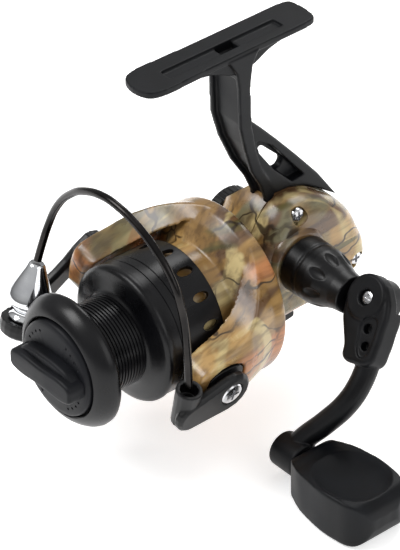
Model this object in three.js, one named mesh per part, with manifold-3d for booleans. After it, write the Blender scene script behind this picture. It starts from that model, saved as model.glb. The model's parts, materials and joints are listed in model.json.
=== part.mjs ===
// Fixed-spool fishing reel as separate bench parts, in millimetres, +Z up.
// The rod foot is on top, the spool points along -Y and the crank along +X.
// Origin: centre of the flat pad at the front end of the foot.
import * as THREE from 'three';
import { mergeVertices } from 'three/addons/utils/BufferGeometryUtils.js';
import Module from 'manifold-3d';

const wasm = await Module();
wasm.setup();

// ---- driving dimensions ----
const gap = 0.3; // clearance between neighbouring parts
const footHalf = 34; // half the foot length
const footWidth = 14.4;
const footEdge = 2.2; // foot thickness at its ends
const padY = -28; // front pad, measured from the foot centre
const spoolDrop = 89.4; // foot face to spool axis
const crankY = 19.6; // crank axis behind the foot centre
const crankRise = 8.6; // crank axis above the spool axis
const crankZ = crankRise - spoolDrop;
const shaftR = 2.5; // main shaft
const boreR = shaftR + gap;
const lipR = 22.3; // front lip of the spool
const skirtR = 22.7;
const arborR = 15;
const rimR = 29.8; // rotor rim
const armR = 33.3; // outer radius of the rotor arms
const armTilt = THREE.MathUtils.degToRad(15); // rotor arms about the spool axis
const pivotY = -26; // bail pivots
const bailX = armR + gap; // inner face of the bail levers
const housingLeft = -14.5; // outer faces of the two body shells
const housingRight = 15;
const splitX = 4; // joint plane of the two shells
const wall = 2.3; // shell wall
const tongueHalf = 4; // frame tongue between the shells
const gearR = 11.3; // drive gear, outside
const gearX = -4.9; // tips of the drive gear teeth
const gearTeeth = 47;
const pinionStart = 9.8; // teeth of the rotor pinion
const pinionEnd = 16.6;
const rotorPinionTeeth = 9;
const toothModule = 0.7; // oscillation gears
const pinionTeeth = 14;
const oscTeeth = 24;
const oscCentre = [30.1, 0.44]; // oscillation gear: y, and z above the spool axis
const oscX = [6, 9];
const crankThrow = 6.5; // half of the spool stroke
const knuckleX = 49; // crank hinge
const hingeRise = 3; // hinge above the crank axis, along the arm
const armLean = THREE.MathUtils.degToRad(-35.6); // crank arm from straight down, as parked
const armLength = 52.6;
const knobStart = 53.6;
const rollerTilt = THREE.MathUtils.degToRad(72.1); // line roller axis above -Y
const rollerAt = [-32, -54.2, -4.8]; // line roller boss, about the spool axis
const leverY = 26; // anti-reverse lever
const leverZ = -106.8;

// ---- finishes ----
const finishes = {
  frame: { color: 0x2b2c2f, roughness: 0.55, metalness: 0 },
  camo: { color: 0xb58c5e, roughness: 0.3, metalness: 0 },
  black: { color: 0x17181a, roughness: 0.4, metalness: 0 },
  grip: { color: 0x1b1c20, roughness: 0.5, metalness: 0 },
  drag: { color: 0x3b3d42, roughness: 0.6, metalness: 0 },
  wire: { color: 0x5c5c5e, roughness: 0.3, metalness: 0.9 },
  chrome: { color: 0xd8dadc, roughness: 0.12, metalness: 1 },
  steel: { color: 0xa5a8ac, roughness: 0.3, metalness: 1 },
  brass: { color: 0xb5924c, roughness: 0.35, metalness: 1 },
  zinc: { color: 0x8d9094, roughness: 0.45, metalness: 0.9 },
  felt: { color: 0x6b665c, roughness: 0.95, metalness: 0 },
  nylon: { color: 0xd9d5c8, roughness: 0.5, metalness: 0 },
};

// ---- shape helpers ----

// A closed geometry as a solid, with its faces turned outwards.
function solid(geometry) {
  geometry.deleteAttribute('normal');
  geometry.deleteAttribute('uv');
  const merged = mergeVertices(geometry, 1e-4);
  const at = merged.attributes.position.array;
  const index = merged.index.array;
  const triangles = [];
  const corner = (i) => new THREE.Vector3(at[3 * i], at[3 * i + 1], at[3 * i + 2]);
  let volume = 0;
  for (let i = 0; i < index.length; i += 3) {
    const [a, b, c] = index.slice(i, i + 3);
    if (a === b || b === c || a === c) continue;
    triangles.push([a, b, c]);
    volume += corner(a).dot(corner(b).cross(corner(c)));
  }
  const turned = volume < 0 ? triangles.map(([a, b, c]) => [a, c, b]) : triangles;
  return new wasm.Manifold(new wasm.Mesh({
    numProp: 3,
    vertProperties: new Float32Array(at),
    triVerts: new Uint32Array(turned.flat()),
  }));
}

// A closed outline from [u, v] points.
function polygon(points) {
  return new THREE.Shape(points.map(([u, v]) => new THREE.Vector2(u, v)));
}

// A closed smooth outline through [u, v] points.
function smooth(points, steps) {
  const curve = new THREE.CatmullRomCurve3(
    points.map(([u, v]) => new THREE.Vector3(u, v, 0)), true, 'centripetal');
  return polygon(curve.getPoints(steps).slice(0, -1).map((p) => [p.x, p.y]));
}

// An outline with each corner cut back by a curve.
function rounded(points, radius, steps = 4) {
  const ring = [];
  points.forEach(([u, v], i) => {
    const here = new THREE.Vector2(u, v);
    const before = new THREE.Vector2(...points.at(i - 1)).sub(here);
    const after = new THREE.Vector2(...points[(i + 1) % points.length]).sub(here);
    const start = here.clone().addScaledVector(before.normalize(), radius);
    const end = here.clone().addScaledVector(after.normalize(), radius);
    const curve = new THREE.QuadraticBezierCurve(start, here, end);
    ring.push(...curve.getPoints(steps).map((p) => [p.x, p.y]));
  });
  return polygon(ring);
}

// Two circles and the straight sides that touch them both.
function teardrop(u0, v0, r0, u1, v1, r1, steps = 8) {
  const along = Math.atan2(v1 - v0, u1 - u0);
  const lean = Math.acos((r0 - r1) / Math.hypot(u1 - u0, v1 - v0));
  const ring = [];
  const arc = (u, v, r, from, to) => {
    for (let i = 0; i <= steps; i += 1) {
      const angle = from + ((to - from) * i) / steps;
      ring.push([u + r * Math.cos(angle), v + r * Math.sin(angle)]);
    }
  };
  arc(u0, v0, r0, along + lean, along + 2 * Math.PI - lean);
  arc(u1, v1, r1, along - lean, along + lean);
  return polygon(ring);
}

// An outline pushed from one depth to another; the edges can be rounded over.
function push(shape, from, to, round = 0, inset = 0, segments = 2, stretch = 1) {
  const deep = round * stretch; // how far the rounding reaches along the push
  const geometry = new THREE.ExtrudeGeometry(shape, {
    depth: to - from - 2 * deep,
    bevelEnabled: round > 0,
    bevelThickness: deep,
    bevelSize: round,
    bevelOffset: -round - inset,
    bevelSegments: segments,
    curveSegments: 8,
    steps: 1,
  });
  return geometry.translate(0, 0, from + deep);
}

const sideways = new THREE.Matrix4().makeBasis(
  new THREE.Vector3(0, 1, 0), new THREE.Vector3(0, 0, 1), new THREE.Vector3(1, 0, 0));

// Outline drawn in (y, z), pushed along X.
const sideSlab = (shape, from, to, round, inset, segments, stretch) =>
  solid(push(shape, from, to, round, inset, segments, stretch).applyMatrix4(sideways));

// Outline drawn in (x, z), pushed along Y.
const frontSlab = (shape, from, to, round, inset, segments) =>
  solid(push(shape, -to, -from, round, inset, segments).rotateX(Math.PI / 2));

// Outline drawn in (x, y), pushed along Z.
const topSlab = (shape, from, to, round) => solid(push(shape, from, to, round));

// A block between two corners.
function block(low, high) {
  const size = high.map((value, i) => value - low[i]);
  const middle = high.map((value, i) => (value + low[i]) / 2);
  return solid(new THREE.BoxGeometry(...size).translate(...middle));
}

// A turned solid about the Y axis from [radius, y] points.
function turned(profile, segments = 24) {
  const points = profile.map(([r, y]) => new THREE.Vector2(r, y));
  const open = profile[0][0] > 0 || profile.at(-1)[0] > 0;
  if (open) points.push(points[0].clone());
  return solid(new THREE.LatheGeometry(points, segments));
}

// A ring or, with no inner radius, a rod about the Y axis.
function ring(inner, outer, from, to, segments) {
  const profile = [[inner, from], [outer, from], [outer, to], [inner, to]];
  return turned(profile, segments);
}

// A rod along X, about a point given as y and z.
function rodX(radius, from, to, y, z, segments = 16) {
  const rod = new THREE.CylinderGeometry(radius, radius, to - from, segments);
  return solid(rod.rotateZ(-Math.PI / 2).translate((from + to) / 2, y, z));
}

// A round bar along a smooth line through [x, y, z] points.
function bar(radius, points, steps, sides = 4) {
  const line = new THREE.CatmullRomCurve3(
    points.map((p) => new THREE.Vector3(...p)), false, 'centripetal');
  const section = new THREE.Shape();
  section.absarc(0, 0, radius, 0, 2 * Math.PI, false);
  return solid(new THREE.ExtrudeGeometry(section, {
    steps, curveSegments: sides, bevelEnabled: false, extrudePath: line,
  }));
}

// A coil about the Y axis.
function coil(radius, wire, from, to, turns) {
  const points = [];
  const count = Math.round(turns * 9);
  for (let i = 0; i <= count; i += 1) {
    const angle = (2 * Math.PI * turns * i) / count;
    const y = from + ((to - from) * i) / count;
    points.push([radius * Math.cos(angle), y, radius * Math.sin(angle)]);
  }
  return bar(wire, points, count, 3);
}

// A toothed outline: each tooth is a trapezium between two radii.
function toothed(teeth, inside, outside, rootShare = 0.46, tipShare = 0.2) {
  const points = [];
  for (let i = 0; i < teeth; i += 1) {
    const middle = (2 * Math.PI * i) / teeth;
    const pitch = (2 * Math.PI) / teeth;
    for (const [r, part] of [[inside, -rootShare], [outside, -tipShare],
      [outside, tipShare], [inside, rootShare]]) {
      const angle = middle + part * pitch;
      points.push([r * Math.cos(angle), r * Math.sin(angle)]);
    }
  }
  return points;
}

// An outline with points at two radii in turn, as on a fine knurl.
function pointed(teeth, inside, outside) {
  const points = [];
  for (let i = 0; i < 2 * teeth; i += 1) {
    const angle = (Math.PI * i) / teeth;
    const r = i % 2 ? inside : outside;
    points.push([r * Math.cos(angle), r * Math.sin(angle)]);
  }
  return points;
}

// A regular outline, measured across its corners.
const regular = (sides, radius) => pointed(sides / 2, radius, radius);

// Outline drawn about the Y axis, pushed along Y.
const aboutY = (points, from, to) => frontSlab(polygon(points), from, to);

const join = (...solids) => solids.reduce((a, b) => a.add(b));
const cut = (first, ...others) => others.reduce((a, b) => a.subtract(b), first);

// A solid as a named part with a material of its own.
function part(name, finish, shape) {
  const mesh = shape.getMesh();
  const geometry = new THREE.BufferGeometry();
  geometry.setAttribute('position', new THREE.BufferAttribute(mesh.vertProperties, 3));
  geometry.setIndex(new THREE.BufferAttribute(mesh.triVerts, 1));
  geometry.computeVertexNormals();
  const object = new THREE.Mesh(geometry, new THREE.MeshStandardMaterial(finishes[finish]));
  object.name = name;
  return object;
}

// ---- places ----
const reel = new THREE.Group();
reel.position.y = -padY;

const spoolLine = new THREE.Group(); // Y is the spool axis
spoolLine.position.z = -spoolDrop;

const rotorLine = new THREE.Group(); // X runs through the rotor arms
rotorLine.rotation.y = armTilt;
spoolLine.add(rotorLine);

const crankLine = new THREE.Group(); // Y is the crank axis, pointing to +X of the reel
crankLine.position.set(0, crankY, crankZ);
crankLine.rotation.z = -Math.PI / 2;

const armLine = new THREE.Group(); // the crank arm hangs along -Z
armLine.position.set(knuckleX, crankY, crankZ);
armLine.rotation.x = armLean;

const knobLine = new THREE.Group(); // X is the knob axis
knobLine.position.set(0,
  crankY + armLength * Math.sin(armLean), crankZ - armLength * Math.cos(armLean));

const rollerLine = new THREE.Group(); // Y is the line roller axis
rollerLine.position.set(...rollerAt);
rollerLine.rotation.x = rollerTilt;
spoolLine.add(rollerLine);

reel.add(spoolLine, crankLine, armLine, knobLine);

// ---- foot, stem and frame ----
function footFrame() {
  const half = footWidth / 2;
  const plan = smooth([
    [0, -footHalf], [half - 1.8, -footHalf + 1.6], [half, -footHalf + 5], [half, -12],
    [half - 0.2, 12], [half - 0.6, footHalf - 2], [half - 1.8, footHalf - 0.2],
    [1 - half + 0.8, footHalf - 0.2], [0.6 - half, footHalf - 2], [0.2 - half, 12],
    [-half, -12], [-half, -footHalf + 5], [1.8 - half, -footHalf + 1.6]], 60);
  const plate = topSlab(plan, -footEdge, 0);
  const root = sideSlab(smooth([
    [-22, -1.6], [-8, -4], [2, -8], [9, -7], [15, -4.2], [25, -1.6], [2, -1]], 28), -6.2, 6.2);
  const front = [[-2, -1.5], [1.2, -7], [2, -13], [2.5, -28], [4.9, -37.6], [8.6, -47.5],
    [13.4, -55.6], [15.8, -61.8], [15.8, -68], [13.7, -72.5], [11.3, -75]];
  const rear = [[15, -76], [19.2, -70], [19.4, -62], [17.4, -56], [12.8, -48], [9.2, -38.5],
    [6.9, -28], [6.4, -14], [7.5, -6], [10, -1.5]];
  const strip = sideSlab(polygon([...front, ...rear]), -9, 9);
  const widths = [[-1, 7.4], [-13, 7.5], [-28, 7.5], [-37.6, 7], [-47.5, 5.6], [-55.6, 4.6],
    [-61, tongueHalf], [-77, tongueHalf]];
  const across = (inset) => polygon([
    ...widths.map(([z, x]) => [x - inset, z]),
    ...widths.toReversed().map(([z, x]) => [inset - x, z])]);
  const stem = strip.intersect(frontSlab(across(0), -30, 40));
  const channel = sideSlab(polygon([
    [-6, -8], [3.6, -10], [4.2, -28], [6.6, -37], [10.3, -46.6], [15.2, -54.8], [17.4, -61.4],
    [17.4, -66], [12, -68], [-6, -60]]), -9, 9).intersect(frontSlab(across(1.7), -30, 40));
  const web = sideSlab(polygon([
    [5.5, -25], [8.2, -27.7], [14.3, -34.1], [20.5, -41], [28.9, -50.8], [37.4, -61.1],
    [45.4, -72.9], [37.4, -67.2], [31, -63.2], [24.7, -61], [19.4, -60.7], [17, -58], [8, -40]]),
  -4.6, 4.6, 0.9);
  const windowCut = sideSlab(teardrop(15.6, -43.8, 1.3, 22.4, -51.8, 2.2, 8), -6, 6);
  const dish = polygon([[11, -37.2], [17.5, -41.4], [31.2, -58.6], [26, -59], [18.4, -51], [12.5, -42.4]]);
  const face = topSlab(rounded([[-1.1, -22.3], [3.6, -22.3], [3.6, 23], [-1.1, 23]], 1), -1, 1);
  const pocket = block([-1.1, -1, -3.4], [3.6, 6, 1]);
  return cut(join(plate, root, stem, web), channel, windowCut, sideSlab(dish, 1.3, 6),
    sideSlab(dish, -6, -1.3), face, pocket);
}
reel.add(part('foot_frame', 'frame', footFrame()));

// ---- body shells ----
const bodyOutline = smooth([
  [3, -80], [9.7, -70.6], [13.9, -64.4], [18.4, -61.5], [24.6, -61.5], [31, -63.6],
  [37.3, -67.5], [44.4, -73.9], [48.6, -82], [50.9, -88.5], [50.6, -93.6], [47.2, -98],
  [41, -100.8], [32, -102.9], [20, -103.6], [8, -102.8], [3.2, -99], [3, -90]], 30);
const roundOver = 5.5;
const roundStretch = 1.64; // the shells' edges reach further across than down
const screwSpots = { top: [20.8, -65.2], rear: [45.4, -93], front: [8.6, -98.2] };
const headX = 12.2;

function bodyShell() {
  const outside = sideSlab(bodyOutline, housingLeft, housingRight, roundOver, 0, 3, roundStretch);
  const inside = sideSlab(bodyOutline, housingLeft + wall, housingRight - wall, roundOver - 1, wall,
    2, roundStretch);
  // the far half is bevelled along its upper edge
  const [outer, inner] = [[-5, -61], [-3.6, -62.4]].map(([x, z]) =>
    frontSlab(polygon([[x, z], [x - 9.8, z - 9.3], [-30, z - 9.3], [-30, -40], [x, -40]]), -5, 60));
  return { outside: cut(outside, outer), inside: cut(inside, inner) };
}
const { outside: shellOutside, inside: shellInside } = bodyShell();
const leftSide = block([-40, -20, -140], [splitX, 80, -40]);
const rightSide = block([splitX + gap, -20, -140], [40, 80, -40]);

function gearHousing() {
  let shell = cut(shellOutside, shellInside).intersect(leftSide);
  const neck = turned([[6, -3.4], [13, -3.4], [13, -8], [17.5, -8], [17.5, 5], [7.8, 5], [7.8, -2.8],
    [6, -2.8]], 28).translate(0, 0, -spoolDrop);
  const neckCut = block([splitX, 2.1, -120], [30, 9, -60]);
  const seat = rodX(8.8, housingLeft + 1, -10.6, crankY, crankZ);
  const bosses = Object.values(screwSpots).map(([y, z]) => rodX(3.6, -4.4, splitX, y, z, 16));
  const lugs = [leverY - 6.6, leverY + 4.8].map((y) =>
    block([-2.6, y, leverZ - 2.6], [2.6, y + 1.8, -102]));
  shell = join(shell, cut(neck, neckCut), seat, join(...bosses).intersect(shellOutside), ...lugs);
  const bores = [
    ring(0, 7.8, 2, 8, 32).translate(0, 0, -spoolDrop),
    rodX(6.9, -14, -9, crankY, crankZ, 20),
    rodX(4.6, -20, -9, crankY, crankZ, 20),
    ...Object.values(screwSpots).map(([y, z]) => rodX(1.6, -3.6, 6, y, z, 12)),
  ];
  const notch = sideSlab(polygon([[0, -77], [15.3, -77], [19.8, -70.2], [19.8, -58], [0, -56]]),
    -tongueHalf - gap, tongueHalf + 2 * gap);
  const pinHole = turned([[0, leverY - 8], [1.6, leverY - 8], [1.6, leverY + 8], [0, leverY + 8]], 16)
    .translate(0, 0, leverZ);
  return cut(shell, ...bores, notch, pinHole);
}
reel.add(part('gear_housing', 'camo', gearHousing()));

function sideCover() {
  let shell = cut(shellOutside, shellInside).intersect(rightSide);
  const collar = rodX(10.4, 12, 16.5, crankY, crankZ, 20);
  const seat = rodX(8.8, 9.7, 13.5, crankY, crankZ, 20);
  const post = rodX(2.2, oscX[0] + gap, 14, oscCentre[0], oscCentre[1] - spoolDrop, 16);
  const bosses = Object.values(screwSpots).map(([y, z]) =>
    rodX(4.2, splitX + gap, headX + 3, y, z, 20));
  shell = join(shell, collar, seat, post, join(...bosses).intersect(shellOutside));
  const bores = [
    ring(0, 7.8, 2, 8, 24).translate(0, 0, -spoolDrop),
    rodX(7.1, 9, 13.2, crankY, crankZ, 20),
    rodX(4.6, 9, 20, crankY, crankZ, 20),
    ...Object.values(screwSpots).map(([y, z]) => rodX(1.6, 0, 20, y, z, 12)),
    ...Object.values(screwSpots).map(([y, z]) => rodX(2.9, headX - gap, 20, y, z, 20)),
  ];
  return cut(shell, ...bores);
}
reel.add(part('side_cover', 'camo', sideCover()));

for (const [key, [y, z]] of Object.entries(screwSpots)) {
  const head = rodX(2.5, headX, headX + 1.7, y, z, 12);
  const slot = block([headX + 0.9, y - 0.4, z - 1.7], [20, y + 0.4, z + 1.7]);
  const cross = block([headX + 0.9, y - 1.7, z - 0.4], [20, y + 1.7, z + 0.4]);
  const shank = rodX(1.3, -3, headX + 0.2, y, z, 8);
  reel.add(part(`cover_screw_${key}`, 'chrome', cut(join(head, shank), slot, cross)));
}

// ---- anti-reverse lever ----
const leverBarrel = turned([[1.6, leverY - 4.5], [2.6, leverY - 4.5], [2.6, leverY + 4.5],
  [1.6, leverY + 4.5]], 16).translate(0, 0, leverZ);
const leverTab = sideSlab(rounded([[leverY - 3.4, leverZ - 2], [leverY + 3.4, leverZ - 2],
  [leverY + 4.2, leverZ - 8.6], [leverY - 1.6, leverZ - 9.4]], 1.2, 2), -1.8, 1.8, 0.6, 0, 1);
reel.add(part('anti_reverse_lever', 'black', join(leverBarrel, leverTab)));
reel.add(part('anti_reverse_pin', 'steel',
  ring(0, 1.3, leverY - 6.4, leverY + 6.4, 12).translate(0, 0, leverZ)));

// ---- bearings and one-way clutch ----
function bearing(inner, outer, from, to) {
  const middle = (inner + outer) / 2;
  const groove = 0.5;
  return turned([[inner, from], [middle, from], [middle, from + groove], [outer, from + groove],
    [outer, to], [inner, to]], 16);
}
spoolLine.add(part('pinion_bearing', 'steel', bearing(4.3, 7.5, -2.5, 2.5)));
crankLine.add(part('drive_bearing_left', 'steel', bearing(4.3, 6.6, -13.6, -10.8)));
crankLine.add(part('drive_bearing_right', 'steel', bearing(3.5, 6.8, 10, 12.9)));
spoolLine.add(part('one_way_clutch', 'steel', ring(4.1, 12.6, -7.6, -3.7, 20)));
spoolLine.add(part('clutch_cover', 'zinc', ring(5, 16.6, -9.3, -8.3, 20)));

// ---- drive train ----
function driveGear() {
  const disc = turned([[2.2, -14.3], [4, -14.3], [4, -8.6], [9.8, -8.6], [gearR, -7.2],
    [gearR, gearX - 1.3], [8.2, gearX - 1.3], [7.4, gearX - 2.6], [5.6, gearX - 2.6],
    [4, gearX - 1], [4, 5], [3.2, 5], [3.2, 14.2], [2.2, 14.2]], 20);
  const teeth = aboutY(pointed(gearTeeth, gearR - 1.2, gearR), gearX - 1.6, gearX);
  return join(disc, cut(teeth, ring(0, gearR - 2.4, gearX - 3, gearX + 1, 20)));
}
crankLine.add(part('drive_gear', 'zinc', driveGear()));

const addendum = 0.5;
const rootDepth = 0.85;
function spurGear(teeth, bore, from, to, turn) {
  const pitchR = (toothModule * teeth) / 2;
  const body = aboutY(toothed(teeth, pitchR - rootDepth, pitchR + addendum, 0.26, 0.12), from, to);
  return cut(body.rotate(0, turn, 0), ring(0, bore, from - 1, to + 1, 20));
}
const meshAngle = THREE.MathUtils.radToDeg(
  Math.atan2(crankRise - oscCentre[1], oscCentre[0] - crankY));
const halfTooth = 180 / oscTeeth;
crankLine.add(part('oscillation_pinion', 'brass',
  spurGear(pinionTeeth, 3.5, ...oscX, 180 - meshAngle)));

const oscLine = new THREE.Group(); // Y is the oscillation gear axis
oscLine.position.set(0, oscCentre[0], oscCentre[1] - spoolDrop);
oscLine.rotation.z = -Math.PI / 2;
reel.add(oscLine);
const crankPin = ring(0, 1.2, oscX[0] - 1.1, oscX[0] + 1, 12).translate(0, 0, -crankThrow);
oscLine.add(part('oscillation_gear', 'nylon',
  join(spurGear(oscTeeth, 2.5, ...oscX, halfTooth - meshAngle), crankPin)));

const pinion = join(ring(boreR, 3.8, -19.8, pinionStart, 20), cut(
  aboutY(toothed(rotorPinionTeeth, 3.5, 4.5, 0.3, 0.16), pinionStart, pinionEnd),
  ring(0, boreR, 4, 20, 20)));
spoolLine.add(part('pinion_gear', 'brass', pinion));

// ---- main shaft and oscillation slider ----
spoolLine.add(part('main_shaft', 'steel', turned([[0, -69], [2, -69], [shaftR, -68.5],
  [shaftR, 35], [0, 35]], 20)));
const sliderY = oscCentre[0];
const slider = cut(
  block([-4, sliderY - 4.6, -7.8], [4.4, sliderY + 4.6, 4.2]),
  ring(0, boreR, sliderY - 8, sliderY + 8, 20),
  block([3, sliderY - 1.6, -8.2], [6, sliderY + 1.6, 8.2]),
  solid(new THREE.CylinderGeometry(1.6, 1.6, 12, 12).rotateX(Math.PI / 2).translate(0, sliderY, -8)));
spoolLine.add(part('oscillation_slider', 'nylon', slider));
const sliderScrew = join(
  solid(new THREE.CylinderGeometry(1.3, 1.3, 5.6, 12).rotateX(Math.PI / 2).translate(0, sliderY, -5.7)),
  solid(new THREE.CylinderGeometry(2.4, 2.4, 1, 16).rotateX(Math.PI / 2).translate(0, sliderY, -8.6)));
spoolLine.add(part('slider_screw', 'steel', sliderScrew));

// ---- rotor ----
const coverEnd = { near: -18.6, far: -12.3 };

// Outline of an arm's cover, or of the pocket that it sits in.
function coverPlan(side, clearance) {
  const half = 6.9 + clearance;
  const front = -32.9 - clearance;
  const rear = coverEnd[side] + clearance;
  return rounded([[front, -half], [rear, -half], [rear, half], [front, half]], 4.8, 3);
}

function rotorBody() {
  const cup = turned([[4.3, -16], [17.5, -16], [17.5, -27], [19.5, -27], [19.5, -10.4],
    [21.5, -9], [25.4, -6.4], [28.8, -3], [rimR, 0], [29.4, 2], [27, 2], [26.6, -1.2], [22, -5.4],
    [18, -12.5], [4.3, -12.5]], 32);
  const sleeve = turned([[24.4, -10], [24.4, -34.6], [26.4, -36.6], [31, -36.6], [armR, -33],
    [armR, -20], [31.8, -10], [rimR, -3], [rimR, 0], [27.2, 0], [27.2, -3]], 32);
  const tip = 9.6;
  const flare = smooth([[-36.7, 0], [-35.6, tip * 0.7], [-31, tip], [-22, 12], [-13, 16.5], [-5, 24],
    [4, 31], [8, 0], [4, -31], [-5, -24], [-13, -16.5], [-22, -12], [-31, -tip],
    [-35.6, -tip * 0.7]], 30);
  const arms = sleeve.intersect(join(sideSlab(flare, 10, 40), sideSlab(flare, -40, -10)));
  return cut(join(cup, arms),
    sideSlab(coverPlan('near', gap), 28.6, 40), sideSlab(coverPlan('far', gap), -40, -28.6),
    rodX(2.3, -40, -20, pivotY, 0, 16), rodX(2.3, 20, 40, pivotY, 0, 16));
}
rotorLine.add(part('rotor', 'camo', rotorBody()));
rotorLine.add(part('rotor_nut', 'brass', cut(aboutY(regular(6, 7.4), -19.6, -16.3),
  ring(0, 4.3, -22, -14, 20))));

for (const [side, sign] of [['near', 1], ['far', -1]]) {
  const low = Math.min(sign * 31.4, sign * 32.9);
  const cover = cut(sideSlab(coverPlan(side, 0), low, low + 1.5),
    rodX(2.3, -40, 40, pivotY, 0, 16));
  rotorLine.add(part(`arm_cover_${side}`, 'black', cover));
  const spans = [[2, 25.8, 36.5, 10], [3.9, 36.3, 37.7, 14]];
  const [shank, head] = spans.map(([r, from, to, n]) =>
    rodX(r, Math.min(sign * from, sign * to), Math.max(sign * from, sign * to), pivotY, 0, n));
  const slots = [block([37.1, -0.5, -2.4], [40, 0.5, 2.4]), block([37.1, -2.4, -0.5], [40, 2.4, 0.5])]
    .map((slot) => (sign > 0 ? slot : slot.mirror([1, 0, 0])).translate(0, pivotY, 0));
  rotorLine.add(part(`pivot_screw_${side}`, 'chrome', cut(join(shank, head), ...slots)));
}

const springCoil = coil(3.6, 0.35, 29.3, 30.9, 1.75).rotate(0, 0, -90).translate(0, pivotY, 0);
const springLeg = bar(0.35, [[30.9, pivotY - 0.6, -3.5], [30.9, pivotY, -3.6],
  [30.9, pivotY + 3, -4.6], [30.9, pivotY + 5.6, -5]], 6, 3);
rotorLine.add(part('bail_spring', 'steel', join(springCoil, springLeg)));

const tripPlate = sideSlab(rounded([[-23, 2.6], [-20.6, 5.6], [-13.4, 5], [-13.2, 1.4], [-20, 2]],
  0.6, 2), -30.4, -29.2);
rotorLine.add(part('bail_trip_lever', 'nylon', tripPlate));

// ---- bail ----
const leverOut = bailX + 3.6; // outer face of the bail levers
function bailArm() {
  const plate = sideSlab(teardrop(pivotY, -0.4, 7.6, -41.2, -2.8, 5.4), bailX, leverOut, 1, 0, 1);
  const socket = solid(new THREE.CylinderGeometry(4.3, 3.7, 14.6, 16).rotateX(Math.PI / 2)
    .translate(32.8, -41.3, -0.05));
  const mouth = solid(new THREE.CylinderGeometry(2.9, 2.9, 8, 12).rotateX(Math.PI / 2)
    .translate(32.8, -41.3, 6.6));
  return cut(join(plate, socket), mouth, rodX(2.3, 30, 40, pivotY, 0, 16),
    rodX(4.3, 36, 40, pivotY, 0, 20));
}
rotorLine.add(part('bail_arm', 'black', bailArm()));

function rollerArm() {
  const outline = smooth([[-20.4, 0], [-22.2, 4.4], [-26.6, 5.6], [-31, 2.6], [-36.4, -3.4],
    [-44, -8.8], [-52, -11.6], [-57, -15], [-56, -19.5], [-50, -20.6], [-41, -17.4], [-32, -9.6],
    [-25.6, -5.6], [-21.6, -4]], 26);
  const plate = sideSlab(outline, -leverOut, -bailX, 1, 0, 1);
  const toRotor = new THREE.Matrix4().makeRotationY(-armTilt)
    .multiply(rollerLine.matrix.compose(rollerLine.position, rollerLine.quaternion, rollerLine.scale));
  const boss = new THREE.LatheGeometry([[0, -5.6], [5.6, -5.6], [7, -4.6], [7.5, -2.4], [7.5, 0],
    [0, 0]].map(([r, y]) => new THREE.Vector2(r, y)), 20).applyMatrix4(toRotor);
  const bore = new THREE.CylinderGeometry(1.8, 1.8, 12, 12).applyMatrix4(toRotor);
  const room = new THREE.CylinderGeometry(7.7, 7.7, 24, 20).translate(0, 12, 0)
    .applyMatrix4(toRotor);
  const headSeat = new THREE.CylinderGeometry(3.1, 3.1, 2.4, 16).translate(0, -5.6, 0)
    .applyMatrix4(toRotor);
  return cut(join(cut(plate, solid(room)), solid(boss)), solid(bore), solid(headSeat),
    rodX(2.3, -40, -30, pivotY, 0, 16), rodX(4.3, -40, -36, pivotY, 0, 20));
}
rotorLine.add(part('roller_arm', 'black', rollerArm()));

rollerLine.add(part('roller_screw', 'steel', join(ring(0, 3, -6.2, -4.8, 16), ring(0, 1.5, -5, 9, 12))));
rollerLine.add(part('roller_bush', 'nylon', ring(1.8, 2.4, gap, 5, 16)));
rollerLine.add(part('line_roller', 'chrome', turned([[2.7, gap], [5.2, gap], [5.2, 1], [4.2, 2],
  [4.2, 3.4], [5.2, 4.4], [5.2, 5], [2.7, 5]], 18)));
rollerLine.add(part('bail_cone', 'chrome', turned([[0, 9.4], [1.8, 9.4], [1.8, 5.3], [6.2, 5.3],
  [7, 6.2], [7.3, 7.8], [6.6, 10.6], [5, 14.4], [3.2, 18.2], [2.5, 19.9], [0, 19.9]], 18)));

const wirePath = [[33.1, -41.1, -1.2], [33.6, -41.9, 11], [33.4, -43.8, 30], [29.6, -44.4, 39.9],
  [22.6, -44.7, 46.8], [13.3, -45.5, 52.8], [6.1, -46, 55], [-0.3, -46, 55], [-9.9, -45.5, 51.7],
  [-17.9, -44.6, 46.2], [-26.1, -43.8, 37.1], [-30.8, -44.2, 27.2], [-31.8, -46.4, 19.6],
  [-32.1, -47.9, 14.8]];
spoolLine.add(part('bail_wire', 'wire', bar(1.3, wirePath, 36)));

// ---- spool and drag ----
function spoolBody() {
  const body = turned([[boreR + 0.1, -52], [12.8, -52], [12.8, -61.5], [16.9, -61.5],
    [16.9, -65.7], [18.2, -65.5], [20.9, -63.2], [lipR, -60.4], [lipR, -59], [21.4, -58.2],
    [arborR + 0.4, -56.2], [arborR, -55.4], [arborR, -42.8], [arborR + 0.4, -42], [21.6, -40.6],
    [22.9, -39.6], [23.1, -38.2], [skirtR, -36.4], [skirtR, -17.3], [21.2, -17.3], [21.2, -36],
    [13.2, -38.2], [13.2, -49], [6, -49], [6, -31.5], [boreR + 0.1, -31.5]], 28);
  const ports = [];
  const count = 15;
  const firstPort = 5.6;
  for (let i = 0; i < count; i += 1) {
    const port = new THREE.CylinderGeometry(1.5, 1.5, 8, 6).scale(1, 1, 2.05)
      .rotateZ(Math.PI / 2).rotateX(Math.PI / 2).translate(skirtR - 1, -22.2, 0);
    ports.push(solid(port).rotate(0, (360 / count) * i + firstPort, 0));
  }
  return cut(body, ...ports);
}
spoolLine.add(part('spool', 'black', spoolBody()));

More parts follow.
